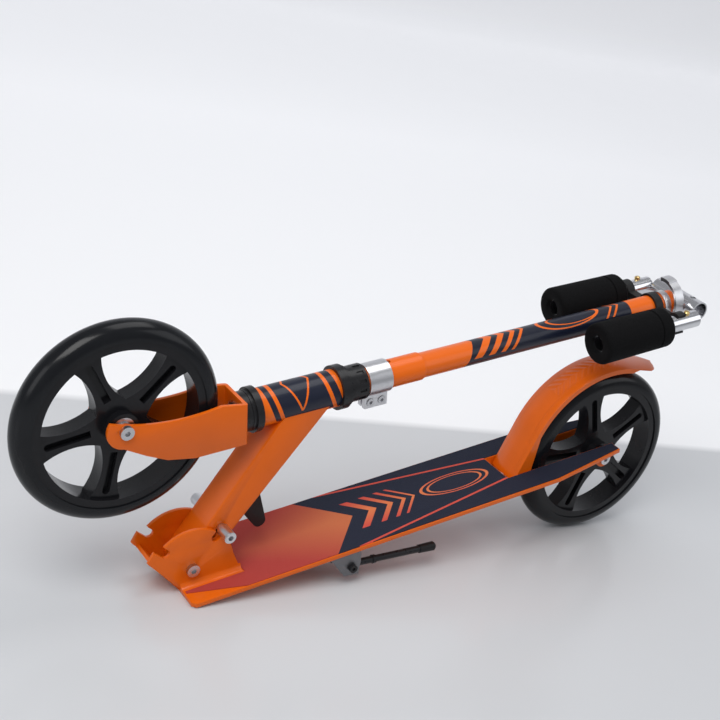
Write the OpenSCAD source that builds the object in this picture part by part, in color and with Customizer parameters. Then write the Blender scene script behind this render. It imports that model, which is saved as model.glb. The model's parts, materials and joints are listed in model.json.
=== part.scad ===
// Folding kick scooter, stored folded: the column lies over the deck, which rests on its front corner
// and on the rear wheel. Millimetres, +Z up, the front wheel towards -X, the kickstand side towards -Y.

/* [Deck] */
// Width of the deck
deck_w = 100; // [84:1:124]
// Length of the deck, from its front edge to the ends of its rails
deck_l = 536; // [500:1:640]
// Thickness of the deck plate
deck_t = 4.5; // [3.5:0.1:6]
// Thickness of the grip tape
tape_t = 0.9; // [0.6:0.1:1.2]
// Margin of bare metal round the grip tape
tape_margin = 1.2; // [0.6:0.1:3]
// Distance of the rear axle in front of the rail ends
axle_inset = 12.3; // [8:0.1:20]
// Height of the rear axle below the deck's top
axle_drop = 15; // [12:0.5:24]
// Width of the slot for the rear wheel
slot_w = 43; // [40:0.5:50]
// Length of the tapered part of the rails
rail_taper_l = 96; // [60:1:140]
// Width of one rail at its end
rail_end_w = 14.5; // [10:0.5:20]
// Depth of the beams under the deck
beam_h = 13.5; // [8:0.5:20]
// Thickness of the beams under the deck
beam_t = 3.5; // [2.5:0.1:5]

/* [Wheels] */
// Diameter of both wheels
wheel_d = 200; // [160:1:230]
// Width of the tyres
tyre_w = 29; // [24:0.5:30]
// Height of the tyre outside the rim
tyre_h = 16; // [12:0.5:20]
// Radial thickness of the rim
rim_h = 8; // [5:0.5:12]
// Number of spokes
spoke_n = 5; // [3:1:7]
// Waist width of a spoke
spoke_w = 17; // [12:0.5:24]
// Thickness of a spoke along the axle
spoke_t = 18; // [12:0.5:22]
// Diameter of the axle bolts
axle_d = 8; // [6:0.5:10]

/* [Hinge and neck] */
// Distance of the fold hinge behind the deck's front edge
hinge_x = 13.2; // [8:0.1:20]
// Height of the fold hinge above the deck
hinge_z = 18.5; // [16:0.1:24]
// Radius of the ears' rounded top
ear_r = 44.5; // [42:0.1:48]
// Thickness of an ear
ear_t = 3.7; // [3:0.1:5]
// Width of the neck
neck_w = 34; // [30:0.5:40]
// Angle of the folded neck to the deck
neck_angle = 47; // [44:0.5:50]
// Angle the neck turns from folded to riding
fold_angle = 87; // [80:1:90]
// Depth of the neck at the hinge
neck_low_d = 25; // [22:0.5:28]
// Depth of the neck under the head tube
neck_top_d = 38; // [30:0.5:42]
// Wall of the neck
neck_wall = 3.2; // [2.5:0.1:4]
// Diameter of the hinge bolt
hinge_d = 8; // [6:0.5:10]
// Radius at which the lock pin sits in its notch
lock_in_r = 38.5; // [37:0.1:40]
// Diameter of the lock pin's shoulders
shoulder_d = 8.8; // [7:0.1:10]
// Diameter of the lock pin's rod
lock_rod_d = 5; // [4:0.1:5.5]

/* [Head and fork] */
// Height of the folded column above the deck at the hinge
column_z = 168; // [164:1:180]
// Slope of the folded column towards the rear
column_tilt = 1.6; // [0:0.1:3]
// Distance of the front axle in front of the hinge, along the column
fork_reach = 59.7; // [54:0.1:70]
// Distance of the front axle from the column's centre line
fork_rake = 24.8; // [18:0.1:30]
// Clear width between the fork's legs
fork_in_w = 38; // [36:0.5:42]
// Thickness of the fork's plate
fork_t = 3.8; // [3:0.1:5]
// Radius of the fork's ends
fork_end_r = 18; // [14:0.5:20]
// Outer diameter of the head tube
head_d = 38; // [36.5:0.5:40]
// Length of the head tube
head_l = 86.5; // [80:0.5:100]
// Diameter of the steerer tube
steerer_d = 25.4; // [24:0.1:26]

/* [Column] */
// Diameter of the column's lower stage
column_d1 = 29; // [28.8:0.1:31]
// Diameter of the column's upper stage
column_d2 = 26; // [25.8:0.1:28]
// Distance of the column's top end from the hinge
column_end = 602.5; // [590:0.5:640]
// Distance of the step between the two stages from the hinge
column_step = 268; // [250:1:300]
// Wall of the column's upper stage
column_wall = 2; // [1.2:0.1:2.2]
// Length of the clamp collar
collar_l = 26; // [22:0.5:30]
// Outer diameter of the clamp collar
collar_d = 33.4; // [33:0.1:36]

/* [Handlebar] */
// Diameter of the crossbar
cross_d = 22.2; // [21.5:0.1:25]
// Length of the crossbar
cross_l = 69; // [64:0.5:84]
// Distance of the crossbar beyond the column's end
cross_gap = 13.5; // [13:0.1:24]
// Diameter of the handle tubes
handle_d = 19; // [17:0.1:20]
// Wall of the handle tubes
handle_wall = 1.5; // [1.2:0.1:1.8]
// Diameter of the foam grips
grip_d = 45; // [36:0.5:50]
// Length of the foam grips
grip_l = 93; // [78:0.5:112]
// Bare length of the handle tubes beyond the grips
handle_bare_l = 45; // [40:0.5:54]
// Travel of the handlebar in the column
bar_travel = 300; // [240:5:310]

/* [Brake] */
// Gap between the tyre and the brake
brake_gap = 10; // [8:0.5:12]
// Width of the brake
brake_w = 41; // [38:0.5:41.5]
// Thickness of the brake's sheet
brake_t = 2; // [1.6:0.1:2.6]

/* [Kickstand] */
// Distance of the kickstand's pivot behind the deck's front edge
stand_x = 177.2; // [150:0.1:220]
// Length of the kickstand's leg
stand_l = 106; // [88:1:128]
// Diameter of the kickstand's leg
stand_d = 7.5; // [6:0.1:7.6]

/* [Hidden] */
$fn = 48;
fine = 96;
eps = 0.02;
play = 0.05;
gap = 0.3;

wheel_r = wheel_d / 2;
seat_r = wheel_r - tyre_h;
inner_r = seat_r - rim_h;
tread_r = tyre_w / 2;
bearing_r = 11;
bearing_w = 7;
hub_r = 15;
hub_half = 17;

axle_x = deck_l - axle_inset;
slot_x = axle_x - wheel_r - 33.3;
beam_y = slot_w / 2;
ear_in = neck_w / 2 + gap;
ear_out = ear_in + ear_t;
ear_l = hinge_x + ear_r + 7.3;
ear_lip = [hinge_x - 37.9, hinge_z + 32.8];
ear_toe = [hinge_x - 45, hinge_z + 22.2];
flare_r = 7;

rod_r = lock_rod_d / 2;
shoulder_r = shoulder_d / 2;
lock_out_r = ear_r + shoulder_r + gap;
lock_travel = lock_out_r - lock_in_r;
cap_r = 6.1;
cap_l = 18;
bushing_r = 7;

crown_u = 58.7;
head_u = 80.5;
head_r = head_d / 2;
head_bore = head_r - 2.5;
cup_r = 22.5;
steer_r = steerer_d / 2;
head_end = head_u + head_l;
nut_u = head_end + 17;
nut_l = 14.5;
collar_u = nut_u + nut_l + 2.5;
collar_r = collar_d / 2;
col_r1 = column_d1 / 2;
col_r2 = column_d2 / 2;
steerer_end = collar_u + 24;
tube_bore = col_r2 - column_wall;
inner_tube_r = tube_bore - 0.08;
inner_start = steerer_end + 6;

cross_u = column_end + cross_gap;
cross_r = cross_d / 2;
cross_half = cross_l / 2;
handle_r = handle_d / 2;
handle_bore = handle_r - handle_wall;
handle_y = cross_half + handle_r + 0.4;
handle_end = cross_u - 16;
right_ahead = 9;
button_back = 15.5;
button_lean = 10;
engaged = 4.8;
sleeve_l = 24;
button_r = 3.2;
clip_u = column_end - 32;
clip_l = 10;

stand_z = -22.4;
stand_y = -deck_w / 2;
stand_slope = 8;
brake_r = wheel_r + brake_gap;
brake_front = 150;
brake_back = 72;
brake_front_l = 56;
brake_tip_l = 42;
cheek = [brake_r - 13, 59.4];
brake_pivot = [axle_x + cheek[0] * cos(brake_front) - cheek[1] * sin(brake_front),
    -axle_drop + cheek[0] * sin(brake_front) + cheek[1] * cos(brake_front)];

// The deck's lean: its front corner and the rear tyre both touch the ground
corner_l = norm([axle_x, deck_t - axle_drop]);
corner_a = atan2(deck_t - axle_drop, axle_x);
lean = asin(wheel_r / corner_l) - corner_a;
front_x = hinge_x - fork_reach * cos(column_tilt) + fork_rake * sin(column_tilt);
front_z = column_z + fork_reach * sin(column_tilt) + fork_rake * cos(column_tilt);
front_row = front_x * cos(lean) - (front_z + deck_t) * sin(lean);
rear_row = corner_l * cos(corner_a + lean);
mid_x = (front_row + rear_row) / 2;

orange = [0.93, 0.36, 0.05];
black = [0.05, 0.05, 0.055];
steel = [0.75, 0.76, 0.78];
silver = [0.82, 0.83, 0.85];
brass = [0.8, 0.62, 0.25];

// ---------- placing ----------

// Deck frame to the ground
module stand() {
    translate([-mid_x, 0, 0])
        rotate([0, -lean, 0])
            translate([0, 0, deck_t])
                children();
}

// Neck frame: origin at the hinge, x along the neck
module on_neck() {
    stand()
        translate([hinge_x, 0, hinge_z])
            rotate([0, -neck_angle, 0])
                children();
}

// Column frame: x along the column from the point over the hinge, z away from the deck
module on_column() {
    stand()
        translate([hinge_x, 0, column_z])
            rotate([0, column_tilt, 0])
                children();
}

// A flat outline in x and z, as a plate from y = a to y = b
module plate(a, b) {
    translate([0, b, 0])
        rotate([90, 0, 0])
            linear_extrude(b - a)
                children();
}

// A solid along y from a to b
module rod_y(r, a, b) {
    translate([0, a, 0])
        rotate([-90, 0, 0])
            cylinder(r = r, h = b - a);
}

// A ring along y
module ring_y(r_out, r_in, a, b) {
    difference() {
        rod_y(r_out, a, b);
        rod_y(r_in, a - 1, b + 1);
    }
}

// A ring along x
module ring_x(r_out, r_in, a, b) {
    translate([a, 0, 0])
        rotate([0, 90, 0])
            difference() {
                cylinder(r = r_out, h = b - a);
                translate([0, 0, -1])
                    cylinder(r = r_in, h = b - a + 2);
            }
}

// A hexagon along y
module hex_y(r, a, b) {
    translate([0, a, 0])
        rotate([-90, 0, 0])
            cylinder(r = r, h = b - a, $fn = 6);
}

module mirror_y() {
    children();
    mirror([0, 1, 0])
        children();
}

// ---------- wheels ----------

module tyre() {
    rotate([90, 0, 0])
        rotate_extrude($fn = fine)
            intersection() {
                translate([wheel_r - tread_r, 0])
                    circle(r = tread_r);
                translate([seat_r, -tread_r - 1])
                    square([tyre_h + 1, tyre_w + 2]);
            }
}

// Side view of the spokes, as one web round the hub
module spoke_web() {
    waist = inner_r / 2 + 10;
    bow = 60;
    intersection() {
        circle(r = inner_r + 1, $fn = fine);
        union() {
            circle(r = hub_r + 7);
            for (i = [0 : spoke_n - 1])
                rotate(-i * 360 / spoke_n)
                    difference() {
                        translate([10, -18])
                            square([inner_r, 36]);
                        translate([waist, bow + spoke_w / 2])
                            circle(r = bow, $fn = fine);
                        translate([waist, -bow - spoke_w / 2])
                            circle(r = bow, $fn = fine);
                    }
        }
    }
}

module spoke_grooves() {
    depth = 6;
    for (i = [0 : spoke_n - 1])
        rotate([0, i * 360 / spoke_n, 0])
            mirror_y()
                plate(spoke_t / 2 - depth, spoke_t / 2 + 1) {
                    translate([28, -3.6])
                        square([inner_r - 36, 7.2]);
                    translate([inner_r - 8, 0])
                        circle(r = 3.6);
                }
}

module rim() {
    difference() {
        union() {
            ring_y(seat_r, inner_r, -tread_r + 1.5, tread_r - 1.5, $fn = fine);
            plate(-spoke_t / 2, spoke_t / 2)
                spoke_web();
            rod_y(hub_r, -hub_half, hub_half);
        }
        spoke_grooves();
        rod_y(axle_d / 2 + 1.5, -hub_half - 1, hub_half + 1);
        mirror_y()
            rod_y(bearing_r, hub_half - bearing_w, hub_half + 1);
    }
}

module wheel_bearings() {
    mirror_y()
        ring_y(bearing_r, axle_d / 2 + play, hub_half - bearing_w, hub_half);
}

// Spacers between the hub and the plates that carry the axle
module spacers(inside) {
    mirror_y()
        ring_y(7, axle_d / 2 + play, hub_half + 0.15, inside);
}

// A button-head bolt from y = -reach to y = +reach, and its nut
module button_bolt(d, reach, tail, head_r, head_h) {
    difference() {
        union() {
            rod_y(d / 2, -reach - eps, reach + tail);
            rod_y(head_r, -reach - head_h, -reach);
        }
        hex_y(d * 0.36, -reach - head_h - 1, -reach - head_h + 2.6);
    }
}

module bolt_nut(d, reach, across, h) {
    difference() {
        hex_y(across / 2 / cos(30), reach, reach + h);
        rod_y(d / 2, reach - 1, reach + h + 1);
    }
}

// ---------- deck ----------

module deck_plan(inset) {
    half = deck_w / 2 - inset;
    end = slot_w / 2 + rail_end_w - inset;
    polygon([[inset, -half + 4], [inset + 4, -half], [deck_l - rail_taper_l, -half],
        [deck_l - inset, -end], [deck_l - inset, end], [deck_l - rail_taper_l, half],
        [inset + 4, half], [inset, half - 4]]);
}

module slot_plan(grow) {
    translate([slot_x - grow, -slot_w / 2 - grow])
        square([deck_l, slot_w + 2 * grow]);
}

module notch(a) {
    translate([hinge_x, hinge_z])
        rotate(a) {
            translate([lock_in_r, -shoulder_r - 0.2])
                square([30, 2 * shoulder_r + 0.4]);
            translate([lock_in_r, 0])
                circle(r = shoulder_r + 0.2);
        }
}

module ear_side() {
    difference() {
        union() {
            intersection() {
                translate([hinge_x, hinge_z])
                    circle(r = ear_r, $fn = fine);
                polygon([[0, 0], [hinge_x - 60, hinge_z + 41.5], [hinge_x - 40, hinge_z + 60],
                    [ear_l + 20, hinge_z + 60], [ear_l + 20, 0]]);
            }
            polygon([[0, -deck_t], [0, 0], ear_toe, ear_lip, [hinge_x - 20, hinge_z + 20],
                [hinge_x + ear_r - 0.2, hinge_z + 4], [ear_l, 0], [ear_l, -deck_t]]);
        }
        notch(neck_angle);
        notch(neck_angle + fold_angle);
        translate([hinge_x, hinge_z])
            circle(r = hinge_d / 2 + 0.1);
    }
}

module beam_side() {
    low = -deck_t - beam_h;
    difference() {
        union() {
            polygon([[34, -deck_t + 1], [96, low], [axle_x - 20, low], [deck_l - 6, -deck_t + 1]]);
            translate([axle_x, -axle_drop])
                circle(r = 10.5);
            translate(brake_pivot)
                circle(r = 7);
        }
        translate([0, -deck_t + 1])
            square([deck_l, 20]);
        translate([axle_x, -axle_drop])
            circle(r = axle_d / 2 + 0.1);
        translate(brake_pivot)
            circle(r = 2.6);
    }
}

module deck() {
    color(orange)
        stand() {
            difference() {
                translate([0, 0, -deck_t])
                    linear_extrude(deck_t)
                        difference() {
                            deck_plan(0);
                            slot_plan(0);
                        }
                translate([-1, -ear_in, -deck_t - 1])
                    cube([hinge_x - 5, 2 * ear_in, deck_t + 2]);
            }
            mirror_y() {
                plate(ear_in, ear_out)
                    ear_side();
                difference() {
                    translate([0, ear_out - eps, -eps])
                        cube([ear_l, flare_r + eps, flare_r + eps]);
                    translate([-1, ear_out + flare_r, flare_r])
                        rotate([0, 90, 0])
                            cylinder(r = flare_r, h = ear_l + 2);
                }
                plate(beam_y, beam_y + beam_t)
                    beam_side();
            }
            // front web between the ears, and the cross members under the deck
            plate(-ear_in - 1, ear_in + 1)
                polygon([ear_toe * 0.86, [0.6, -deck_t], [3.6, -deck_t], ear_toe * 0.86 + [3, 2]]);
            for (x = [100, slot_x - 14])
                translate([x, -beam_y - 1, -deck_t - beam_h + 2])
                    cube([3, 2 * beam_y + 2, beam_h]);
        }
}

module grip_tape() {
    color(black)
        stand()
            linear_extrude(tape_t)
                difference() {
                    deck_plan(tape_margin);
                    slot_plan(tape_margin);
                    translate([-1, -ear_out - flare_r])
                        square([ear_l + 2.4, 2 * (ear_out + flare_r)]);
                    mirror_y()
                        polygon([[-1, -ear_out], [-1, -deck_w], [59, -deck_w], [59, -deck_w / 2 + tape_margin],
                            [2, -ear_out - flare_r - 3], [2, -ear_out]]);
                }
}

module at_hinge() {
    stand()
        translate([hinge_x, 0, hinge_z])
            children();
}

module hinge_bolt() {
    color(steel)
        at_hinge()
            button_bolt(hinge_d, ear_out, 7, 6.6, 4.2);
}

module hinge_nut() {
    color(steel)
        at_hinge()
            bolt_nut(hinge_d, ear_out, 13, 6);
}

// ---------- kickstand ----------

module at_stand() {
    stand()
        translate([stand_x, 0, stand_z])
            children();
}

module kickstand_bracket() {
    color(black)
        stand()
            difference() {
                union() {
                    plate(stand_y, stand_y + 3)
                        polygon([[stand_x - 25, -deck_t], [stand_x - 9.9, stand_z - 7.2],
                            [stand_x + 6.8, stand_z - 9.7], [stand_x + 9.8, stand_z + 5.1],
                            [stand_x + 10, -deck_t]]);
                    translate([stand_x - 25, stand_y, -deck_t - 3])
                        cube([35, deck_w / 2 - beam_y - beam_t, 3]);
                }
                translate([stand_x, 0, stand_z])
                    rod_y(3.1, stand_y - 1, stand_y + 4);
            }
}

module kickstand_bolt() {
    color(steel)
        at_stand()
            difference() {
                union() {
                    rod_y(3, stand_y - eps, stand_y + 12);
                    rod_y(4.4, stand_y - 3, stand_y);
                    hex_y(5.4, stand_y + 11.7, stand_y + 15.7);
                }
                hex_y(2, stand_y - 4, stand_y - 1.2);
            }
}

module kickstand_leg() {
    collar_at = 27.5;
    color(black)
        at_stand()
            difference() {
                union() {
                    rod_y(8.2, stand_y + 3.3, stand_y + 11.5);
                    translate([0, stand_y + 7.2, 0])
                        rotate([0, 90 + stand_slope, 0]) {
                            cylinder(r = stand_d / 2, h = stand_l - 20);
                            translate([0, 0, collar_at])
                                cylinder(r = stand_d / 2 + 0.9, h = 3.4);
                        }
                }
                rod_y(3 + play, stand_y + 2, stand_y + 13);
            }
}

module kickstand_foot() {
    color(black)
        at_stand()
            translate([0, stand_y + 7.2, 0])
                rotate([0, 90 + stand_slope, 0])
                    translate([0, 0, stand_l - 20]) {
                        cylinder(r1 = stand_d / 2 + 0.8, r2 = stand_d / 2 + 1.3, h = 18);
                        translate([0, 0, 18 - eps])
                            cylinder(r1 = stand_d / 2 + 1.3, r2 = stand_d / 2 - 0.2, h = 2);
                    }
}

module kickstand_spring() {
    color(steel)
        at_stand()
            for (i = [0 : 1])
                translate([0, stand_y + 12.3 + 1.7 * i, 0])
                    rotate([-90, 0, 0])
                        rotate_extrude()
                            translate([7, 0])
                                circle(r = 0.8, $fn = 16);
}

// ---------- rear wheel and brake ----------

module at_rear() {
    stand()
        translate([axle_x, 0, -axle_drop])
            children();
}

module rear_axle_bolt() {
    color(steel)
        at_rear()
            button_bolt(axle_d, beam_y + beam_t, 7, 6.3, 3.6);
}

module rear_axle_nut() {
    color(steel)
        at_rear()
            bolt_nut(axle_d, beam_y + beam_t, 13, 6);
}

module rear_spacers() {
    color(steel)
        at_rear()
            spacers(beam_y);
}

module rear_rim() {
    color(black)
        at_rear()
            rotate([0, -25.6, 0])
                rim();
}

module rear_tyre() {
    color(black)
        at_rear()
            tyre();
}

module rear_bearings() {
    color(steel)
        at_rear()
            wheel_bearings();
}

// Side view of the brake: an arc over the tyre, straight to the pivot at its front, deeper at the cheeks
module brake_side() {
    skirt = 7.5;
    top = brake_r + brake_t;
    difference() {
        intersection() {
            circle(r = top, $fn = 2 * fine);
            polygon([[0, 0], 200 * [cos(brake_back), sin(brake_back)], 200 * [cos(110), sin(110)],
                200 * [cos(brake_front), sin(brake_front)]]);
        }
        circle(r = top - skirt, $fn = 2 * fine);
    }
    rotate(brake_front)
        polygon([[top - skirt, 0], [top, 0], [top, brake_front_l], cheek + [7, 5], cheek + [0, 7.5],
            cheek + [-7, 3], cheek + [-7, -5], [top - 12, 24]]);
    rotate(brake_back)
        polygon([[top - skirt, 0], [top - brake_t, -9], [top - brake_t, -brake_tip_l],
            [top, -brake_tip_l], [top, 0]]);
}

module rear_fender() {
    half = brake_w / 2;
    side = half - brake_t;
    round_r = half + 1.5;
    color(orange)
        at_rear()
            difference() {
                plate(-half, half)
                    brake_side();
                plate(-side, side) {
                    circle(r = brake_r, $fn = 2 * fine);
                    rotate(brake_front)
                        translate([brake_r - 40, 0])
                            square([40, 90]);
                    rotate(brake_back)
                        translate([brake_r - 40, -90])
                            square([40, 90]);
                }
                // rounded rear end
                rotate([0, 90 - brake_back, 0])
                    translate([0, 0, brake_r - 20])
                        linear_extrude(50)
                            difference() {
                                translate([brake_tip_l - round_r, -half - 5])
                                    square([round_r + 5, brake_w + 10]);
                                translate([brake_tip_l - round_r, 0])
                                    circle(r = round_r);
                            }
                rotate([0, -brake_front, 0])
                    translate([cheek[0], 0, cheek[1]])
                        rod_y(2.5 + play, -half - 1, half + 1);
            }
}

module brake_bolt() {
    reach = beam_y + beam_t;
    color(steel)
        stand()
            translate([brake_pivot[0], 0, brake_pivot[1]])
                difference() {
                    union() {
                        rod_y(2.5, -reach - eps, reach + 4);
                        rod_y(4.6, -reach - 3, -reach);
                        hex_y(4.6, reach, reach + 3.6);
                    }
                    hex_y(1.9, -reach - 4, -reach - 1.4);
                }
}

module brake_spring() {
    color(steel)
        stand()
            translate([brake_pivot[0], 0, brake_pivot[1]])
                for (i = [-3 : 3])
                    translate([0, i * 1.7, 0])
                        rotate([-90, 0, 0])
                            rotate_extrude()
                                translate([4.2, 0])
                                    circle(r = 0.75, $fn = 16);
}

// ---------- neck ----------

// Side outline of the neck in its own frame
module neck_side() {
    low = neck_low_d / 2;
    top = neck_top_d / 2;
    polygon([[0, low], [166, top - 1], [188, top - 1.2], [216, -top - 2], [203, -top], [0, -low]]);
    circle(r = low);
}

module neck() {
    color(orange)
        difference() {
            on_neck()
                difference() {
                    union() {
                        mirror_y()
                            plate(neck_w / 2 - neck_wall, neck_w / 2)
                                neck_side();
                        plate(-neck_w / 2 + 1, neck_w / 2 - 1)
                            difference() {
                                neck_side();
                                polygon([[-40, -60], [-40, neck_low_d / 2 - neck_wall - 0.4],
                                    [0, neck_low_d / 2 - neck_wall], [166, neck_top_d / 2 - 1 - neck_wall],
                                    [230, neck_top_d / 2 - neck_wall], [230, -60]]);
                                translate([-20, -30])
                                    square([30, 60]);
                            }
                    }
                    rod_y(bushing_r, -neck_w, neck_w);
                    // slots for the lock pin
                    plate(-neck_w, neck_w) {
                        translate([lock_in_r, -rod_r - 0.1])
                            square([lock_travel + 0.6, 2 * rod_r + 0.2]);
                        translate([lock_in_r, 0])
                            circle(r = rod_r + 0.1);
                        translate([lock_out_r + 0.6, 0])
                            circle(r = rod_r + 0.1);
                    }
                }
            on_column()
                translate([head_u - 40, 0, 0])
                    rotate([0, 90, 0])
                        cylinder(r = head_r, h = head_l + 100);
            on_column()
                translate([head_u - 60, -40, 4])
                    cube([250, 80, 60]);
        }
}

module head_tube() {
    color(orange)
        on_column()
            ring_x(head_r, head_bore, head_u, head_end);
}

module hinge_bushing() {
    color(brass)
        on_neck()
            ring_y(bushing_r, hinge_d / 2 + play, -neck_w / 2 - 0.1, neck_w / 2 + 0.1);
}

module cup(lip) {
    ring_x(head_bore, head_bore - 2, -8, 0);
    ring_x(cup_r, steer_r + 1.2, 0, lip);
    ring_x(cup_r - 2.2, steer_r + 1.2, lip, lip + 3.5);
}

module lower_headset_cup() {
    color(black)
        on_column()
            translate([head_u, 0, 0])
                mirror([1, 0, 0])
                    cup(7);
}

module upper_headset_cup() {
    color(black)
        on_column()
            translate([head_end, 0, 0])
                cup(9);
}

module headset_bearings() {
    color(steel)
        on_column() {
            ring_x(head_bore - 2, steer_r + play, head_u + 0.4, head_u + 7);
            ring_x(head_bore - 2, steer_r + play, head_end - 7, head_end - 0.4);
        }
}

module lock_spring() {
    color(steel)
        on_neck()
            for (i = [0 : 7])
                translate([lock_out_r + 14 + i * 3, 0, 4])
                    rotate([0, 90, 0])
                        rotate_extrude()
                            translate([4.5, 0])
                                circle(r = 0.8, $fn = 16);
}

module lock_pin() {
    color(steel)
        on_neck()
            translate([lock_out_r, 0, 0])
                rod_y(rod_r, -ear_out - 12, ear_out + 12);
}

module lock_pin_caps() {
    color(silver)
        on_neck()
            translate([lock_out_r, 0, 0])
                mirror_y()
                    difference() {
                        union() {
                            rod_y(shoulder_r, neck_w / 2 + 0.4, ear_out + 1);
                            rod_y(cap_r, ear_out + gap, ear_out + cap_l - 0.8);
                            rod_y(cap_r - 0.8, ear_out + cap_l - 1, ear_out + cap_l);
                        }
                        rod_y(rod_r, 0, ear_out + 12);
                        hex_y(2.9, ear_out + 13, ear_out + cap_l + 1);
                    }
}

module release_lever() {
    back = -neck_low_d / 2;
    color(black)
        on_neck()
            difference() {
                union() {
                    plate(-neck_w / 2 + neck_wall + 0.4, neck_w / 2 - neck_wall - 0.4)
                        polygon([[lock_out_r - 8, 7], [lock_out_r + 12, 7], [lock_out_r + 12, -2],
                            [104, -10], [104, back + 0.5], [lock_out_r - 8, back + 1]]);
                    plate(-8, 8) {
                        polygon([[72, back + 2], [63.2, -42], [67, -50.3], [76, -47.6], [104, back + 2]]);
                        translate([70, -44])
                            circle(r = 7);
                    }
                }
                translate([lock_out_r, 0, 0])
                    rod_y(rod_r + 0.05, -neck_w, neck_w);
            }
}

// ---------- fork and steering ----------

// Side outline of a fork leg in the column frame
module fork_side() {
    axle = [-fork_reach, fork_rake];
    difference() {
        union() {
            polygon([[-fork_reach, fork_rake + fork_end_r], [crown_u + fork_t, 20.5],
                [crown_u + fork_t, -22.5], [8, -22.5], [-20, -16.5], [-40, -6.5],
                axle - [14.5, 10.6]]);
            translate(axle)
                circle(r = fork_end_r);
        }
        translate([0, 20.5 + 214])
            circle(r = 212, $fn = 2 * fine);
        translate(axle)
            circle(r = axle_d / 2 + 0.1);
    }
}

module fork() {
    half = fork_in_w / 2;
    color(orange)
        on_column() {
            difference() {
                union() {
                    mirror_y()
                        plate(half, half + fork_t)
                            fork_side();
                    translate([crown_u, -half - fork_t, -22.5])
                        cube([fork_t, fork_in_w + 2 * fork_t, 43]);
                }
                translate([crown_u - 2, 0, 0])
                    rotate([0, 90, 0])
                        cylinder(r = steer_r, h = fork_t + 4);
                mirror_y()
                    translate([crown_u + fork_t - 3, half + fork_t - 3, -30])
                        difference() {
                            cube([4, 4, 60]);
                            translate([0, 0, -1])
                                cylinder(r = 3, h = 62);
                        }
            }
        }
}

module steerer_tube() {
    color(steel)
        on_column()
            ring_x(steer_r, steer_r - 1.8, crown_u - 0.5, steerer_end);
}

module crown_race() {
    color(black)
        on_column()
            ring_x(cup_r - 2.6, steer_r, crown_u + fork_t, head_u - 7 - 3.5 - gap);
}

module headset_locknut() {
    r = 18.3;
    color(black)
        on_column()
            difference() {
                ring_x(r, steer_r, nut_u - 4.2, nut_u + nut_l);
                for (i = [0 : 11])
                    rotate([i * 30, 0, 0])
                        translate([nut_u + 4, -1.6, r - 1.2])
                            cube([nut_l - 7, 3.2, 4]);
            }
}

module clamp_collar() {
    color(silver)
        on_column()
            difference() {
                union() {
                    ring_x(collar_r, col_r1, collar_u, collar_u + collar_l);
                    for (side = [0, 1])
                        translate([collar_u, side == 0 ? -6.4 : 1.2, -collar_r - 13.5])
                            cube([collar_l, 5.2, 16]);
                }
                translate([collar_u - 1, -1.2, -collar_r - 15])
                    cube([collar_l + 2, 2.4, 20]);
                rotate([0, 90, 0])
                    translate([0, 0, collar_u - 1])
                        cylinder(r = col_r1, h = collar_l + 2);
                for (u = [6.5, collar_l - 6.5])
                    translate([collar_u + u, 0, -collar_r - 7]) {
                        rod_y(2.55, -10, 10);
                        rod_y(4.4, -7, -4.4);
                    }
            }
}

module clamp_bolts() {
    color(steel)
        on_column()
            for (u = [6.5, collar_l - 6.5])
                translate([collar_u + u, 0, -collar_r - 7])
                    difference() {
                        union() {
                            rod_y(2.5, -5, 8);
                            rod_y(4.2, -7.4, -4.4);
                            hex_y(4.6, 6.4, 9.6);
                        }
                        hex_y(2.1, -8, -5.6);
                    }
}

module column_tube() {
    color(orange)
        on_column()
            difference() {
                union() {
                    ring_x(col_r1, steer_r, collar_u - 1.5, column_step - 2);
                    translate([column_step - 2 - eps, 0, 0])
                        rotate([0, 90, 0])
                            difference() {
                                cylinder(r1 = col_r1, r2 = col_r2, h = 4);
                                translate([0, 0, -1])
                                    cylinder(r = tube_bore, h = 6);
                            }
                    ring_x(col_r2, tube_bore, column_step + 2 - eps, column_end);
                }
                // slits under the clamp collar and at the top end
                translate([collar_u - 3, -1.3, 0])
                    cube([collar_l + 6, 2.6, 30]);
                translate([collar_u + collar_l + 3, 0, 0])
                    cylinder(r = 2.4, h = 30);
                translate([column_end - 26, -1.2, -30])
                    cube([30, 2.4, 30]);
            }
}

// ---------- grip holder and quick release ----------

module handle_clip() {
    wrap = 2.6;
    bite = 5;
    color(black)
        on_column()
            difference() {
                union() {
                    ring_x(col_r2 + wrap, col_r2 + 0.02, clip_u, clip_u + clip_l);
                    mirror_y() {
                        translate([0, handle_y, 0])
                            ring_x(handle_r + wrap, handle_r + gap, clip_u, clip_u + clip_l);
                        translate([clip_u, col_r2 + 1, -4])
                            cube([clip_l, handle_y - handle_r - col_r2 - 1.5, 8]);
                    }
                }
                mirror_y()
                    translate([clip_u - 1, handle_y + bite, -handle_r - 8])
                        cube([clip_l + 2, 20, 2 * handle_r + 16]);
                mirror_y()
                    translate([0, handle_y, 0])
                        rotate([0, 90, 0])
                            translate([0, 0, clip_u - 1])
                                cylinder(r = handle_r + gap, h = clip_l + 2);
            }
}

qr_u = column_end - 18.5;
qr_l = 8;
lever_u = qr_u + qr_l + gap;
lever_l = 11.4;
lever_r = 22.5;
lever_t = 3;
lever_c = [2.5, 4];
pivot_y = -17.5;
pivot_z = -6.4;

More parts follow.
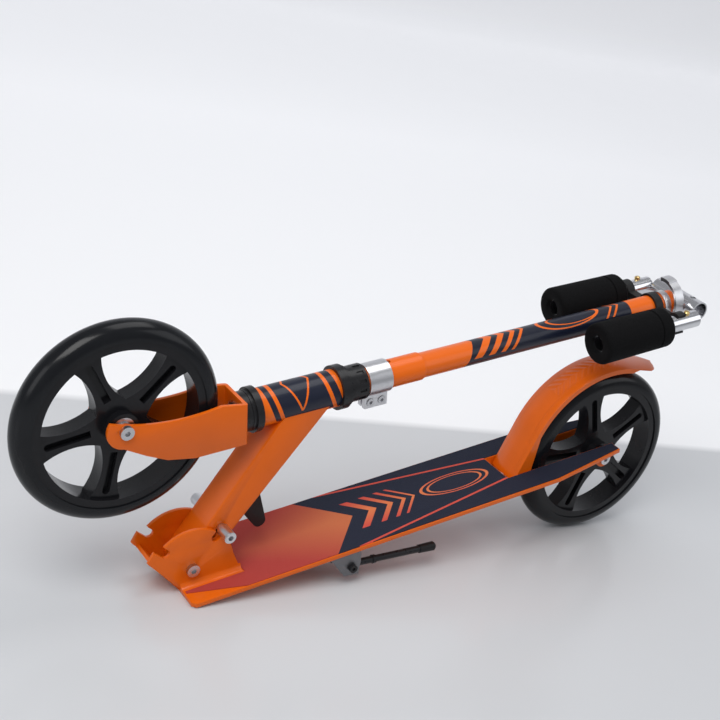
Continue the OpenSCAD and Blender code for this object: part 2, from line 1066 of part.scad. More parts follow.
module quick_release_collar() {
    color(silver)
        on_column()
            difference() {
                union() {
                    ring_x(col_r2 + 2.2, col_r2, qr_u, qr_u + qr_l);
                    translate([qr_u, -5.4, -col_r2 - 11])
                        cube([qr_l, 10.8, 12]);
                    translate([qr_u, pivot_y - 2.6, pivot_z - 3.4])
                        cube([qr_l, -pivot_y - col_r2 + 6, 6.8]);
                }
                translate([qr_u - 1, -0.9, -col_r2 - 12])
                    cube([qr_l + 2, 1.8, 16]);
                rotate([0, 90, 0])
                    translate([0, 0, qr_u - 1])
                        cylinder(r = col_r2, h = qr_l + 2);
                translate([qr_u + qr_l / 2, 0, -col_r2 - 6])
                    rod_y(2.05, -8, 8);
                translate([0, pivot_y, pivot_z])
                    rotate([0, 90, 0])
                        translate([0, 0, qr_u - 1])
                            cylinder(r = 1.6, h = qr_l + 2);
            }
}

module quick_release_bolt() {
    color(steel)
        on_column() {
            translate([qr_u + qr_l / 2, 0, -col_r2 - 6]) {
                rod_y(2, -5.5, 8);
                rod_y(3.6, -8, -5.4);
                hex_y(3.8, 5.4, 8);
            }
            translate([0, pivot_y, pivot_z])
                rotate([0, 90, 0])
                    translate([0, 0, qr_u])
                        cylinder(r = 1.6, h = lever_u + lever_l - qr_u + 0.3);
        }
}

module quick_release_lever() {
    color(silver)
        on_column()
            difference() {
                union() {
                    translate([lever_u, lever_c[0], lever_c[1]])
                        rotate([0, 90, 0]) {
                            rotate_extrude(angle = 132, start = 165)
                                translate([lever_r - lever_t / 2, 0])
                                    square([lever_t, lever_l]);
                            rotate_extrude(angle = 34, start = 165)
                                translate([lever_r - lever_t / 2, 0])
                                    square([lever_t + 1.2, lever_l]);
                        }
                    translate([lever_u, pivot_y, pivot_z])
                        rotate([0, 90, 0])
                            cylinder(r = 3.4, h = lever_l);
                }
                translate([lever_u - 1, pivot_y, pivot_z])
                    rotate([0, 90, 0])
                        cylinder(r = 1.6 + play, h = lever_l + 2);
            }
}

// ---------- front wheel ----------

module at_front() {
    on_column()
        translate([-fork_reach, 0, fork_rake])
            children();
}

module front_axle_bolt() {
    color(steel)
        at_front()
            button_bolt(axle_d, fork_in_w / 2 + fork_t, 7, 6.6, 4);
}

module front_axle_nut() {
    color(steel)
        at_front()
            bolt_nut(axle_d, fork_in_w / 2 + fork_t, 13, 6);
}

module front_spacers() {
    color(steel)
        at_front()
            spacers(fork_in_w / 2);
}

module front_rim() {
    color(black)
        at_front()
            rotate([0, -40.5, 0])
                rim();
}

module front_tyre() {
    color(black)
        at_front()
            tyre();
}

module front_bearings() {
    color(steel)
        at_front()
            wheel_bearings();
}

// ---------- handlebar ----------

module inner_tube() {
    color(steel)
        on_column()
            difference() {
                ring_x(inner_tube_r, inner_tube_r - 1.6, inner_start, cross_u);
                translate([cross_u, 0, 0])
                    rod_y(cross_r - eps, -30, 30);
            }
}

module crossbar() {
    hole_y = engaged + button_back;
    color(silver)
        on_column()
            translate([cross_u, 0, 0])
                difference() {
                    ring_y(cross_r, handle_r + 0.1, -cross_half, cross_half);
                    mirror_y()
                        translate([0, hole_y, 0])
                            rotate([0, button_lean, 0])
                                cylinder(r = button_r + 0.3, h = 30);
                }
}

// Frame of the left handle as it is stored beside the column: origin at its inner end, x along it
module at_handle() {
    on_column()
        translate([handle_end, -handle_y, 0])
            children();
}

// The right handle is stored a little farther forward than the left one
module right_side() {
    on_column()
        translate([right_ahead, 0, 0])
            mirror([0, 1, 0])
                rotate([0, -column_tilt, 0])
                    translate([-hinge_x, 0, -column_z])
                        translate([0, 0, -deck_t])
                            rotate([0, lean, 0])
                                translate([mid_x, 0, 0])
                                    children();
}

module handle_tube() {
    color(silver)
        at_handle()
            difference() {
                union() {
                    ring_x(handle_r, handle_bore, -handle_bare_l - grip_l + 4, -sleeve_l);
                    ring_x(handle_r, handle_bore - 0.6, -sleeve_l - eps, 0);
                }
                translate([-button_back, 0, 0])
                    rotate([button_lean, 0, 0])
                        cylinder(r = button_r + 0.1, h = 20);
            }
}

module grip() {
    lip = 4;
    outer = grip_d / 2;
    inner = outer - 1;
    groove = 18;
    color(black)
        at_handle()
            translate([-handle_bare_l - grip_l, 0, 0])
                rotate([0, 90, 0])
                    difference() {
                        union() {
                            cylinder(r1 = outer - lip, r2 = outer, h = lip, $fn = fine);
                            translate([0, 0, lip - eps])
                                cylinder(r1 = outer, r2 = inner, h = grip_l - 2 * lip + 2 * eps, $fn = fine);
                            translate([0, 0, grip_l - lip])
                                cylinder(r1 = inner, r2 = inner - lip, h = lip, $fn = fine);
                        }
                        translate([0, 0, -1])
                            cylinder(r = handle_r, h = grip_l + 2);
                        translate([0, 0, grip_l - groove])
                            difference() {
                                cylinder(r = outer + 1, h = 1.6);
                                translate([0, 0, -1])
                                    cylinder(r = inner - 1.2, h = 4, $fn = fine);
                            }
                    }
}

module button() {
    proud = 3.5;
    color(brass)
        at_handle()
            translate([-button_back, 0, 0])
                rotate([button_lean, 0, 0]) {
                    translate([0, 0, handle_bore - 2])
                        cylinder(r = button_r, h = handle_wall + 2 + proud - 1);
                    translate([0, 0, handle_r + proud - 1 - eps])
                        cylinder(r1 = button_r, r2 = button_r - 1.1, h = 1);
                }
}

module cord_plug() {
    color(black)
        at_handle()
            ring_x(4.2, 1.5, -8, -1);
}

module left_handle_tube() {
    handle_tube();
}

module right_handle_tube() {
    right_side()
        handle_tube();
}

module left_grip() {
    grip();
}

module right_grip() {
    right_side()
        grip();
}

module left_button() {
    button();
}

module right_button() {
    right_side()
        button();
}

module left_cord_plug() {
    cord_plug();
}

module right_cord_plug() {
    right_side()
        cord_plug();
}

deck();
grip_tape();
hinge_bolt();
hinge_nut();
kickstand_bracket();
kickstand_bolt();
kickstand_leg();
kickstand_foot();
kickstand_spring();
rear_axle_bolt();
rear_axle_nut();
rear_spacers();
rear_rim();
rear_tyre();
rear_bearings();
rear_fender();
brake_bolt();
brake_spring();
neck();
head_tube();
hinge_bushing();
lower_headset_cup();
upper_headset_cup();
headset_bearings();
lock_spring();
lock_pin();
lock_pin_caps();
release_lever();
fork();
steerer_tube();
crown_race();
headset_locknut();
clamp_collar();
clamp_bolts();
column_tube();
handle_clip();
quick_release_collar();
quick_release_bolt();
quick_release_lever();
front_axle_bolt();
front_axle_nut();
front_spacers();
front_rim();
front_tyre();
front_bearings();
inner_tube();
crossbar();
left_handle_tube();
left_grip();
left_button();
left_cord_plug();
right_handle_tube();
right_grip();
right_button();
right_cord_plug();
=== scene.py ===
import json
import math

import bmesh
import bpy
from mathutils import Matrix, Vector


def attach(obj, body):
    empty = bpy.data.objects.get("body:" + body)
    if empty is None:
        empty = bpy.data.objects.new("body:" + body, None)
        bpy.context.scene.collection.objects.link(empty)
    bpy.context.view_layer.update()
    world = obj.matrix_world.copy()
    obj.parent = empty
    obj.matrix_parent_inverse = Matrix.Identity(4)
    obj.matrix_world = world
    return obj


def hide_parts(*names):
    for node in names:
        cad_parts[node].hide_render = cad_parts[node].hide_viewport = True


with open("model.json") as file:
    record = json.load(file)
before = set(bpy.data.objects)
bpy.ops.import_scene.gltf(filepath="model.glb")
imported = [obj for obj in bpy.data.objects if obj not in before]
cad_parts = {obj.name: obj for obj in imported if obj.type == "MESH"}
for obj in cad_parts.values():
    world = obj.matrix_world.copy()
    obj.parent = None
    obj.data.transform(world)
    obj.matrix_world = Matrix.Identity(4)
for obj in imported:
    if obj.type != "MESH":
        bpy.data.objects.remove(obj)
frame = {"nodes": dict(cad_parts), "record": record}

bl_info = {
    "name": "Folding kick scooter",
    "version": (1, 0, 0),
    "blender": (4, 5, 0),
    "location": "3D View > Sidebar > Scooter",
    "description": "Finishes the pieces of a folded kick scooter and its studio",
    "category": "Object",
}

# Sizes of the scooter, in millimetres and degrees, in its own deck and column frames
LEAN = 12.15454
MID_X = 213.7614
DECK_T = 4.5
HINGE_X = 13.2
COLUMN_Z = 168.0
COLUMN_TILT = 1.6
AXLE = (523.7, -15.0)
HANDLE_Y = 44.4
HANDLE_END = 600.0
RIGHT_AHEAD = 9.0
BARE_L = 45.0
# Where the pale sheet that forms the backdrop starts on the floor, and where the floor's painted
# glow begins, in millimetres
SHEET_Y = 310.0
# Radii of the painted tubes and the middle of the tape's oval, in millimetres
COLUMN_R = 13.0
HEAD_R = 19.0
OVAL_X = 334.6
# The camera: metres, degrees and millimetres
CAMERA_PLACE = (-0.847298, -1.067030, 0.790112)
CAMERA_TURN = (66.7316, -11.7443, -31.8250)
CAMERA_LENS = 73.7
CAMERA_SENSOR = 36.0
# Lamps: name, place in metres, size in metres, watts and colour
LAMPS = (
    ("key", (-1.3, -0.9, 2.1), 1.3, 33.0, (1.0, 0.99, 0.97)),
    ("fill", (1.9, -1.5, 1.5), 1.6, 10.0, (0.95, 0.97, 1.0)),
    ("back", (0.5, 0.1, 2.3), 1.4, 16.0, (1.0, 1.0, 1.0)),
    ("side", (-2.2, -0.4, 0.9), 1.0, 6.0, (0.97, 0.98, 1.0)),
)


def deck_point(x, y, z):
    """A point given in the deck's frame, in metres in the row frame."""
    a = math.radians(LEAN)
    z += DECK_T
    return Vector(
        (
            x * math.cos(a) - z * math.sin(a) - MID_X,
            y,
            x * math.sin(a) + z * math.cos(a),
        )
    ) / 1000


def column_point(u, y, v):
    """A point given in the folded column's frame, in metres in the row frame."""
    a = math.radians(COLUMN_TILT)
    return deck_point(
        HINGE_X + u * math.cos(a) + v * math.sin(a),
        y,
        COLUMN_Z - u * math.sin(a) + v * math.cos(a),
    )


def basis(point):
    """Origin and unit axes of the frame that a point function describes."""
    o = point(0, 0, 0)
    return o, *(((point(*e) - o).normalized()) for e in ((1, 0, 0), (0, 1, 0), (0, 0, 1)))


# ---------- shader maths ----------


class Value:
    """A number in a shader tree, with ordinary arithmetic."""

    def __init__(self, shader, socket):
        self.shader, self.socket = shader, socket

    def math(self, operation, *others):
        return self.shader.math(operation, self, *others)

    def __add__(self, other):
        return self.math("ADD", other)

    __radd__ = __add__

    def __sub__(self, other):
        return self.math("SUBTRACT", other)

    def __rsub__(self, other):
        return self.shader.math("SUBTRACT", other, self)

    def __mul__(self, other):
        return self.math("MULTIPLY", other)

    __rmul__ = __mul__

    def __truediv__(self, other):
        return self.math("DIVIDE", other)

    def __gt__(self, other):
        return self.math("GREATER_THAN", other)

    def __lt__(self, other):
        return self.math("LESS_THAN", other)

    def __abs__(self):
        return self.math("ABSOLUTE")

    def near(self, centre, half):
        """1 within half of centre, else 0."""
        return abs(self - centre) < half

    def between(self, low, high):
        return (self > low) * (self < high)

    def either(self, other):
        return self.math("MAXIMUM", other)

    def sine(self):
        return self.math("SINE")


class Shader:
    """A material's node tree."""

    def __init__(self, name):
        self.material = bpy.data.materials.new(name)
        self.material.use_nodes = True
        self.tree = self.material.node_tree
        self.tree.nodes.clear()
        self.out = self.tree.nodes.new("ShaderNodeOutputMaterial")
        self.bsdf = self.tree.nodes.new("ShaderNodeBsdfPrincipled")
        self.tree.links.new(self.bsdf.outputs["BSDF"], self.out.inputs["Surface"])
        self.coordinates = self.tree.nodes.new("ShaderNodeTexCoord").outputs["Object"]

    def put(self, socket, value):
        if isinstance(value, Value):
            self.tree.links.new(value.socket, socket)
        elif isinstance(value, bpy.types.NodeSocket):
            self.tree.links.new(value, socket)
        else:
            socket.default_value = value

    def node(self, kind, settings=None, inputs=None):
        n = self.tree.nodes.new(kind)
        for k, v in (settings or {}).items():
            setattr(n, k, v)
        for k, v in (inputs or {}).items():
            self.put(n.inputs[k], v)
        return n

    def math(self, operation, *values):
        inputs = dict(enumerate(values))
        return Value(self, self.node("ShaderNodeMath", {"operation": operation}, inputs).outputs[0])

    def clamp(self, value):
        return self.math("MINIMUM", self.math("MAXIMUM", value, 0.0), 1.0)

    def along(self, origin, axis):
        """Distance from a point along an axis, in millimetres."""
        d = self.node(
            "ShaderNodeVectorMath",
            {"operation": "DOT_PRODUCT"},
            {0: self.coordinates, 1: tuple(axis)},
        ).outputs["Value"]
        return (Value(self, d) - origin.dot(axis)) * 1000.0

    def frame(self, point):
        o, a, b, c = basis(point)
        return self.along(o, a), self.along(o, b), self.along(o, c)

    def noise(self, scale, detail=3.0):
        n = self.node(
            "ShaderNodeTexNoise",
            None,
            {"Vector": self.coordinates, "Scale": scale, "Detail": detail},
        )
        return Value(self, n.outputs["Fac"])

    def mix(self, mask, a, b):
        """Colour a where mask is 0 and b where it is 1."""
        n = self.node("ShaderNodeMix", {"data_type": "RGBA"}, {0: mask})
        for socket, colour in ((n.inputs[6], a), (n.inputs[7], b)):
            if isinstance(colour, bpy.types.NodeSocket):
                self.tree.links.new(colour, socket)
            else:
                socket.default_value = (*colour, 1.0)
        return n.outputs[2]

    def set(self, **inputs):
        names = {
            "color": "Base Color",
            "rough": "Roughness",
            "metal": "Metallic",
            "coat": "Coat Weight",
            "coat_rough": "Coat Roughness",
            "specular": "Specular IOR Level",
            "glow": "Emission Color",
            "glow_strength": "Emission Strength",
        }
        for k, v in inputs.items():
            if k == "color" and isinstance(v, tuple):
                v = (*v, 1.0)
            self.put(self.bsdf.inputs[names[k]], v)
        return self

    def bump(self, height, strength, distance):
        n = self.node(
            "ShaderNodeBump",
            None,
            {"Height": height, "Strength": strength, "Distance": distance},
        )
        self.tree.links.new(n.outputs["Normal"], self.bsdf.inputs["Normal"])
        return self


MADE = {}


def once(build):
    """Each material is made once."""

    def get(*args):
        key = (build.__name__, args)
        if key not in MADE:
            MADE[key] = build(*args).material
        return MADE[key]

    return get


def settings():
    return bpy.context.scene.scooter


def orange():
    return tuple(settings().orange)


def navy():
    return tuple(settings().navy)


def finish_paint(s, colour):
    """Gloss paint: faint orange peel, slightly uneven gloss."""
    peel = s.noise(420.0, 2.0)
    s.set(color=colour, rough=0.3 + s.noise(60.0) * 0.12, coat=0.16, coat_rough=0.08, specular=0.26)
    return s.bump(peel, 0.06, 0.0004)


@once
def orange_paint():
    s = Shader("orange_paint")
    fade = s.noise(30.0)
    deep = tuple(c * 0.86 for c in orange())
    return finish_paint(s, s.mix(fade, orange(), deep))


@once
def column_paint():
    """The folded column: navy decal with chevrons and ovals on orange paint."""
    s = Shader("column_paint")
    u, y, v = s.frame(column_point)
    turn = s.math("ARCTAN2", y, v)
    arc = abs(turn) * COLUMN_R
    top = arc < 34.0
    start = u + arc * 0.45
    field = (start > 331.0) * (u < 537.0) * top
    marks = None
    for apex, width in ((356.0, 10.0), (372.0, 8.0), (386.0, 6.0), (397.0, 4.0)):
        band = (u + arc * 0.9).between(apex - width, apex) * (arc < 21.0)
        marks = band if marks is None else marks.either(band)
    for apex in (517.0, 526.0):
        band = (u + arc * 0.9).between(apex - 3.0, apex) * (arc < 14.0)
        marks = marks.either(band)
    for centre, long, wide in ((455.0, 40.0, 13.0), (462.0, 34.0, 9.5)):
        run, rise = (u - centre) / long, arc / wide
        e = s.math("SQRT", run * run + rise * rise)
        marks = marks.either(e.near(1.0, 0.05))
    navy_c = s.mix(s.noise(50.0), navy(), tuple(c * 0.7 for c in navy()))
    decal = s.mix(marks, navy_c, orange())
    paint = s.mix(field, orange(), decal)
    return finish_paint(s, paint)


@once
def head_paint():
    """The head tube: navy decal with two bands and a chevron."""
    s = Shader("head_paint")
    u, y, v = s.frame(column_point)
    arc = abs(s.math("ARCTAN2", y, v)) * HEAD_R
    field = (u - arc * arc * 0.006).between(86.0, 161.0) * (arc < 42.0)
    bend = u - arc * arc * 0.006
    marks = bend.near(94.0, 2.1).either(bend.near(151.0, 2.1))
    leg = (abs(u - 123.0) - (34.0 - arc) * 0.42).near(0.0, 1.1)
    marks = marks.either(leg * (arc < 34.0))
    decal = s.mix(marks, navy(), orange())
    return finish_paint(s, s.mix(field, orange(), decal))


@once
def brake_paint():
    """The brake: embossed ridges near the sides and chevrons over the crown."""
    s = Shader("brake_paint")
    x, y, z = s.frame(deck_point)
    angle = s.math("ARCTAN2", z - AXLE[1], x - AXLE[0]) * (180.0 / math.pi)
    side = abs(y)
    chevron = ((angle * 1.95 - side * 0.9) * (2.0 * math.pi / 8.5)).sine()
    on_top = angle.between(82.0, 124.0) * (side < 11.0)
    ridge = (side - 13.0 - (angle - 120.0) * 0.05).near(0.0, 1.1) * angle.between(112.0, 172.0)
    height = chevron * on_top * 0.5 + ridge
    s.set(color=s.mix(s.noise(40.0), orange(), tuple(c * 0.85 for c in orange())))
    s.set(rough=0.26 + s.noise(60.0) * 0.1, coat=0.35, coat_rough=0.06, specular=0.3)
    return s.bump(height, 0.9, 0.0009)


@once
def tape():
    """Gritty grip tape with a printed field, chevrons and stripes."""
    s = Shader("grip_tape")
    x, y, z = s.frame(deck_point)
    side = abs(y)
    tip = x + side * 0.93
    field = tip < 206.5
    marks = None
    for apex, width in ((235.8, 9.5), (256.5, 7.0), (272.5, 5.0), (284.0, 3.5)):
        band = tip.between(apex - width, apex) * (side < 24.0)
        marks = band if marks is None else marks.either(band)
    stripe = (side - (47.9 - (x - 198.6) * 0.139)).near(0.0, 1.3) * x.between(186.0, 391.0)
    marks = marks.either(stripe)
    for grow in (1.0, 0.8):
        run, rise = (x - OVAL_X) / (42.0 * grow), y / (15.0 * grow)
        e = s.math("SQRT", run * run + rise * rise)
        marks = marks.either(e.near(1.0, 0.045))
    grit = s.noise(1900.0, 1.0)
    blend = x / 130.0 - 0.35 - side / 70.0
    warm = s.mix(s.clamp(blend), (0.42, 0.045, 0.035), (0.56, 0.145, 0.055))
    bright = s.mix(s.clamp(side / 22.0), (0.72, 0.2, 0.07), (0.62, 0.075, 0.05))
    dark = s.mix(grit, tuple(c * 0.5 for c in navy()), tuple(c * 1.9 for c in navy()))
    plain = s.mix(marks, dark, bright)
    s.set(color=s.mix(field, plain, warm), rough=0.66 + grit * 0.3, specular=0.35)
    return s.bump(grit, 0.7, 0.0006)


@once
def metal(name, colour, rough, brush):
    s = Shader(name)
    streak = s.noise(brush, 4.0)
    s.set(color=s.mix(streak, colour, tuple(c * 0.85 for c in colour)), metal=1.0)
    s.set(rough=rough + streak * 0.12)
    return s.bump(streak, 0.05, 0.0003)


@once
def plastic(name, colour, rough, grain):
    s = Shader(name)
    spots = s.noise(grain, 3.0)
    s.set(color=s.mix(spots, colour, tuple(c * 0.7 for c in colour)), rough=rough + spots * 0.14)
    s.set(specular=0.24)
    return s.bump(spots, 0.12, 0.0004)


@once
def tyre():
    """Cast polyurethane: glossy and faintly marked."""
    s = Shader("tyre")
    marks = s.noise(35.0, 4.0)
    s.set(color=s.mix(marks, (0.005, 0.0055, 0.007), (0.010, 0.011, 0.013)))
    s.set(rough=0.14 + marks * 0.14, coat=0.05, coat_rough=0.1, specular=0.2)
    return s.bump(s.noise(300.0), 0.04, 0.0004)


@once
def foam():
    """Closed-cell foam with a fine open grain."""
    s = Shader("foam")
    cells = s.node(
        "ShaderNodeTexVoronoi", None, {"Vector": s.coordinates, "Scale": 1300.0}
    ).outputs["Distance"]
    grain = Value(s, cells)
    s.set(color=s.mix(s.noise(500.0), (0.002, 0.002, 0.0023), (0.006, 0.006, 0.0066)))
    s.set(rough=0.7 + grain * 0.25, specular=0.1)
    return s.bump(grain, 0.5, 0.0005)


def material_for(node):
    """The finish of each CAD node."""
    special = {
        "column_tube": column_paint,
        "head_tube": head_paint,
        "grip_tape": tape,
        "rear_tyre": tyre,
        "front_tyre": tyre,
    }
    if node in special:
        return special[node]()
    slots = {s["node"]: s["material_slot"] for s in frame["record"]["subparts"]}
    return {
        "orange_paint": lambda: orange_paint(),
        "bright_steel": lambda: metal("bright_steel", (0.62, 0.62, 0.64), 0.22, 160.0),
        "black_paint": lambda: plastic("black_paint", (0.018, 0.018, 0.02), 0.22, 200.0),
        "grey_steel": lambda: metal("grey_steel", (0.2, 0.2, 0.21), 0.34, 120.0),
        "black_plastic": lambda: plastic("black_plastic", (0.014, 0.014, 0.015), 0.38, 500.0),
        "wheel_core": lambda: plastic("wheel_core", (0.010, 0.010, 0.012), 0.17, 90.0),
        "silver_alloy": lambda: metal("silver_alloy", (0.72, 0.72, 0.74), 0.26, 260.0),
        "chromed_steel": lambda: metal("chromed_steel", (0.82, 0.82, 0.84), 0.1, 90.0),
        "brass": lambda: metal("brass", (0.75, 0.55, 0.24), 0.24, 120.0),
        "foam": lambda: foam(),
    }[slots[node]]()


# ---------- pieces ----------


def body_of(node):
    for body, members in frame["record"]["behaviour"]["bodies"].items():
        if node in members:
            return body
    raise KeyError(node)


def keep(bm, name, node, material):
    """Turns a bmesh into a piece that stands for a CAD node."""
    mesh = bpy.data.meshes.new(name)
    bm.to_mesh(mesh)
    bm.free()
    piece = bpy.data.objects.new(name, mesh)
    bpy.context.scene.collection.objects.link(piece)
    mesh.materials.append(material)
    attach(piece, body_of(node))
    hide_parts(node)
    return piece


def sharpen(bm, angle):
    """Smooth faces, with the edges sharper than an angle kept crisp."""
    for f in bm.faces:
        f.smooth = True
    limit = math.radians(angle)
    for e in bm.edges:
        e.smooth = len(e.link_faces) == 2 and e.calc_face_angle(0.0) < limit


def refine(node, bevel=0.0, angle=32.0):
    """A copy of a CAD node with clean shading and, where asked, broken edges."""
    bm = bmesh.new()
    bm.from_mesh(frame["nodes"][node].data)
    bmesh.ops.remove_doubles(bm, verts=bm.verts, dist=2e-6)
    if bevel:
        bmesh.ops.dissolve_limit(
            bm, angle_limit=math.radians(1.0), verts=bm.verts, edges=bm.edges
        )
        hard = [
            e
            for e in bm.edges
            if len(e.link_faces) == 2 and e.calc_face_angle(0.0) > math.radians(40.0)
        ]
        bmesh.ops.bevel(
            bm,
            geom=hard,
            offset=bevel / 1000,
            affect="EDGES",
            segments=2,
            profile=0.5,
            material=-1,
            clamp_overlap=True,
        )
    sharpen(bm, angle)
    return keep(bm, node + "_piece", node, material_for(node))


def arc_points(cx, cy, r, start, end, count):
    return [
        (
            cx + r * math.cos(math.radians(start + (end - start) * i / count)),
            cy + r * math.sin(math.radians(start + (end - start) * i / count)),
        )
        for i in range(count + 1)
    ]


def lathe(profile, place, steps=72):
    """A closed profile of (distance along, radius) turned about the x axis and placed."""
    bm = bmesh.new()
    verts = [bm.verts.new((a, 0.0, r)) for a, r in profile]
    edges = [bm.edges.new((verts[i], verts[(i + 1) % len(verts)])) for i in range(len(verts))]
    bmesh.ops.spin(
        bm,
        geom=verts + edges,
        cent=(0, 0, 0),
        axis=(1, 0, 0),
        angle=math.tau,
        steps=steps,
        use_merge=True,
    )
    bmesh.ops.remove_doubles(bm, verts=bm.verts, dist=1e-4)
    for v in bm.verts:
        v.co = place(*v.co)
    bmesh.ops.recalc_face_normals(bm, faces=bm.faces)
    return bm


def grip_piece(side):
    """A foam grip with rounded ends and a groove near its inner end."""
    g = settings()
    length, outer = g.grip_length * 1000, g.grip_radius * 1000
    inner, lip, hole = outer - 1.0, 4.6, 9.5
    groove = length - 18.0
    profile = [(0.0, hole + 0.6)]
    profile += arc_points(lip, outer - lip, lip, 180, 90, 8)
    slope = lambda a: outer + (inner - outer) * a / length
    profile += [(groove - 0.9, slope(groove)), (groove - 0.3, slope(groove) - 1.1)]
    profile += [(groove + 0.7, slope(groove) - 1.1), (groove + 1.3, slope(groove))]
    profile += arc_points(length - lip, inner - lip, lip, 90, 0, 8)
    profile += [(length, hole + 0.4), (length - 0.5, hole), (0.6, hole)]
    start = HANDLE_END - BARE_L - length + (RIGHT_AHEAD if side > 0 else 0.0)
    bm = lathe(profile, lambda a, b, c: column_point(start + a, side * HANDLE_Y + b, c))
    sharpen(bm, 50.0)
    node = "right_grip" if side > 0 else "left_grip"
    piece = keep(bm, node + "_foam", node, foam())
    return piece


def brake_piece():
    """The brake: a crowned strip over the tyre with rolled sides and a rounded end."""
    g = settings()
    crown = g.brake_crown * 1000
    top, half, back, front = 110.4, 20.4, 72.0, 150.0
    front_l, tip_l, round_r = 56.0, 42.0, 22.0
    stations = [("tip", tip_l * (1 - i / 14)) for i in range(14)]
    stations += [("arc", back + (front - back) * i / 44) for i in range(45)]
    stations += [("front", front_l * (i + 1) / 12) for i in range(12)]
    across = [-1.0, -0.985, -0.94, -0.84, -0.66, -0.4, -0.14]
    across = across + [0.0] + [-a for a in reversed(across)]

    def place(kind, s, y, r):
        if kind == "arc":
            a = math.radians(s)
            x, z = r * math.cos(a), r * math.sin(a)
        else:
            a = math.radians(front if kind == "front" else back)
            t = s if kind == "front" else -s
            x = r * math.cos(a) - t * math.sin(a)
            z = r * math.sin(a) + t * math.cos(a)
        return deck_point(AXLE[0] + x, y, AXLE[1] + z)

    def depth(kind, s):
        if kind == "tip":
            return max(0.4, 5.5 - s * 0.5)
        if kind == "arc":
            return 5.5
        return 5.5 + s * 0.27

    bm = bmesh.new()
    rows = []
    for kind, s in stations:
        width = half
        if kind == "tip" and s > tip_l - round_r:
            reach = s - (tip_l - round_r)
            width = min(half, math.sqrt(max(round_r**2 - reach**2, 1.0)))
        row = []
        for a in across:
            rise = crown * (1 - abs(a) ** 2.6)
            row.append(bm.verts.new(place(kind, s, a * width, top + rise)))
        low = top - depth(kind, s)
        row.insert(0, bm.verts.new(place(kind, s, -width, low)))
        row.append(bm.verts.new(place(kind, s, width, low)))
        rows.append(row)
    for a, b in zip(rows, rows[1:]):
        for i in range(len(a) - 1):
            bm.faces.new((a[i], a[i + 1], b[i + 1], b[i]))
    bmesh.ops.recalc_face_normals(bm, faces=bm.faces)
    crown_face = max(bm.faces, key=lambda f: f.calc_center_median().z)
    if crown_face.normal.z < 0:
        bmesh.ops.reverse_faces(bm, faces=bm.faces)
    bmesh.ops.solidify(bm, geom=list(bm.faces), thickness=0.0018)
    a = math.radians(front)
    pivot_r, pivot_t = 97.0, 59.4
    px = pivot_r * math.cos(a) - pivot_t * math.sin(a)
    pz = pivot_r * math.sin(a) + pivot_t * math.cos(a)
    turn = Matrix.Rotation(math.radians(90), 4, "X")
    for y in (-19.4, 19.4):
        spot = deck_point(AXLE[0] + px, y, AXLE[1] + pz)
        bmesh.ops.create_cone(
            bm,
            cap_ends=True,
            segments=32,
            radius1=0.0088,
            radius2=0.0088,
            depth=0.0018,
            matrix=Matrix.Translation(spot) @ turn,
        )
    bmesh.ops.recalc_face_normals(bm, faces=bm.faces)
    sharpen(bm, 40.0)
    piece = keep(bm, "rear_fender_piece", "rear_fender", brake_paint())
    return piece


class ScooterSettings(bpy.types.PropertyGroup):
    orange: bpy.props.FloatVectorProperty(
        name="Orange",
        description="Main paint colour",
        subtype="COLOR",
        default=(0.80, 0.135, 0.002),
    )
    navy: bpy.props.FloatVectorProperty(
        name="Navy",
        description="Colour of the decals",
        subtype="COLOR",
        default=(0.008, 0.011, 0.026),
    )
    edge: bpy.props.FloatProperty(
        name="Broken edges", description="Bevel of the sheet metal's edges", default=0.0004,
        unit="LENGTH", precision=5,
    )
    grip_length: bpy.props.FloatProperty(
        name="Grip length", description="Length of a foam grip", default=0.093, unit="LENGTH"
    )
    grip_radius: bpy.props.FloatProperty(
        name="Grip radius", description="Radius of a foam grip", default=0.0225, unit="LENGTH"
    )
    brake_crown: bpy.props.FloatProperty(
        name="Brake crown", description="Rise of the brake's middle", default=0.0028, unit="LENGTH"
    )


BEVELLED = ("deck", "neck", "fork", "kickstand_bracket", "release_lever")
OWN = ("left_grip", "right_grip", "rear_fender")


class SCOOTER_OT_metalwork(bpy.types.Operator):
    """Give the tubes, plates and fittings clean edges and their finishes"""

    bl_idname = "scooter.metalwork"
    bl_label = "Finish metalwork"

    def execute(self, context):
        for node in sorted(frame["nodes"]):
            if node in OWN:
                continue
            edge = settings().edge * 1000 if node in BEVELLED else 0.0
            refine(node, edge)
        return {"FINISHED"}


class SCOOTER_OT_grips(bpy.types.Operator):
    """Make the two foam grips"""

    bl_idname = "scooter.grips"
    bl_label = "Make foam grips"

    def execute(self, context):
        grip_piece(-1)
        grip_piece(1)
        return {"FINISHED"}


class SCOOTER_OT_brake(bpy.types.Operator):
    """Make the embossed brake over the rear wheel"""

    bl_idname = "scooter.brake"
    bl_label = "Make brake"

    def execute(self, context):
        brake_piece()
        return {"FINISHED"}


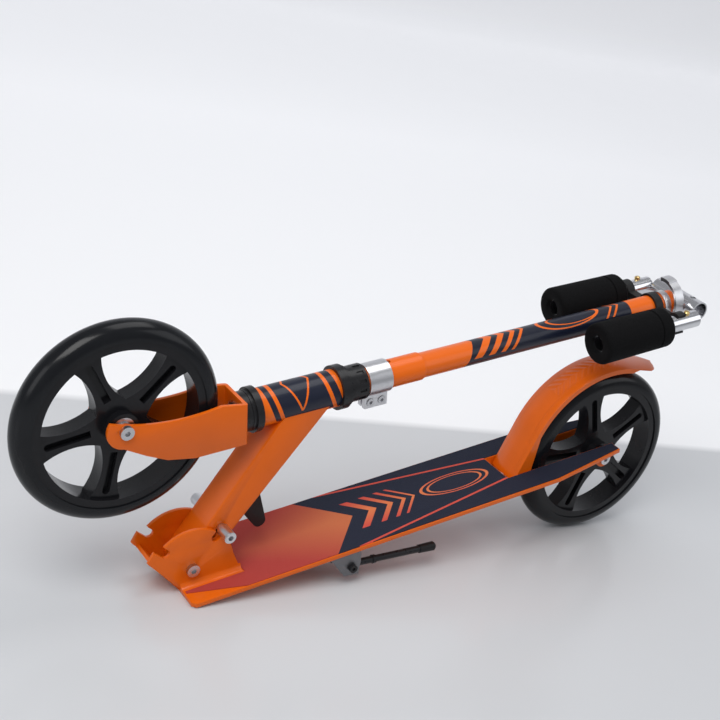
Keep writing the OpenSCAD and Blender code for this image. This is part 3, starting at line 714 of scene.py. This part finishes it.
class SCOOTER_OT_stage(bpy.types.Operator):
    """Make the floor, the lights and the camera"""

    bl_idname = "scooter.stage"
    bl_label = "Make stage"

    def execute(self, context):
        scene = context.scene
        floor_shader = Shader("studio_floor")
        shade = floor_shader.noise(3.0)
        beyond = floor_shader.along(Vector((0, 0, 0)), Vector((0, 1, 0))) - SHEET_Y
        sheet = floor_shader.clamp(beyond / 18.0)
        # Painted light: beyond the sheet line the floor glows, faintly at first and brighter with
        # distance, as a painted glow standing in for the lit backdrop; the floor is no lamp.
        painted_glow_ramp = floor_shader.clamp(beyond / 1400.0)
        ground = floor_shader.mix(shade, (0.59, 0.605, 0.625), (0.63, 0.64, 0.66))
        painted_glow_near = floor_shader.mix(sheet, (0.0, 0.0, 0.0), (0.08, 0.081, 0.084))
        floor_shader.set(
            color=floor_shader.mix(sheet, ground, (0.87, 0.875, 0.89)),
            rough=0.16 + shade * 0.08,
            specular=0.35,
            glow=floor_shader.mix(painted_glow_ramp, painted_glow_near, (0.27, 0.273, 0.285)),
            glow_strength=1.0,
        )
        bm = bmesh.new()
        width, depth, height, fillet = 8.0, 4.6, 5.0, 1.6
        profile = [(-6.0, 0.0), (depth - fillet, 0.0)]
        profile += [
            (
                depth - fillet + fillet * math.sin(math.radians(a)),
                fillet - fillet * math.cos(math.radians(a)),
            )
            for a in range(6, 91, 6)
        ]
        profile.append((depth, height))
        rows = [
            [bm.verts.new((x, y, z)) for y, z in profile]
            for x in (-width, width)
        ]
        for i in range(len(profile) - 1):
            bm.faces.new((rows[0][i], rows[1][i], rows[1][i + 1], rows[0][i + 1]))
        bm.normal_update()
        for f in bm.faces:
            f.smooth = True
        mesh = bpy.data.meshes.new("studio")
        bm.to_mesh(mesh)
        bm.free()
        floor = bpy.data.objects.new("studio", mesh)
        floor.rotation_euler = (0, 0, math.radians(-18.4))
        floor.location = (0, 0, -0.0005)
        scene.collection.objects.link(floor)
        mesh.materials.append(floor_shader.material)
        for name, place, size, power, colour in LAMPS:
            light = bpy.data.lights.new(name, "AREA")
            light.energy, light.size, light.color = power, size, colour
            lamp = bpy.data.objects.new(name, light)
            lamp.location = place
            aim = Vector((0.0, 0.0, 0.12)) - Vector(place)
            lamp.rotation_euler = aim.to_track_quat("-Z", "Y").to_euler()
            scene.collection.objects.link(lamp)
        world = bpy.data.worlds.new("studio_light")
        world.use_nodes = True
        background = world.node_tree.nodes["Background"]
        background.inputs["Color"].default_value = (0.93, 0.95, 1.0, 1.0)
        background.inputs["Strength"].default_value = 0.32
        scene.world = world
        scene.view_settings.view_transform = "Standard"
        camera = bpy.data.objects.new("camera", bpy.data.cameras.new("camera"))
        camera.location = CAMERA_PLACE
        camera.rotation_euler = [math.radians(a) for a in CAMERA_TURN]
        camera.data.sensor_width = CAMERA_SENSOR
        camera.data.lens = CAMERA_LENS
        scene.collection.objects.link(camera)
        scene.camera = camera
        return {"FINISHED"}


class SCOOTER_PT_panel(bpy.types.Panel):
    """Sizes, colours and steps"""

    bl_idname = "SCOOTER_PT_panel"
    bl_label = "Kick scooter"
    bl_space_type = "VIEW_3D"
    bl_region_type = "UI"
    bl_category = "Scooter"

    def draw(self, context):
        for name in ScooterSettings.__annotations__:
            self.layout.prop(context.scene.scooter, name)
        for step in STEPS:
            self.layout.operator(step.bl_idname)


STEPS = (SCOOTER_OT_metalwork, SCOOTER_OT_grips, SCOOTER_OT_brake, SCOOTER_OT_stage)
CLASSES = (ScooterSettings, *STEPS, SCOOTER_PT_panel)


def register():
    for c in CLASSES:
        bpy.utils.register_class(c)
    bpy.types.Scene.scooter = bpy.props.PointerProperty(type=ScooterSettings)


def unregister():
    del bpy.types.Scene.scooter
    for c in reversed(CLASSES):
        bpy.utils.unregister_class(c)


def main():
    register()
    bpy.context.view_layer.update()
    bpy.ops.scooter.metalwork()
    bpy.ops.scooter.grips()
    bpy.ops.scooter.brake()
    bpy.ops.scooter.stage()


if __name__ == "__main__":
    main()
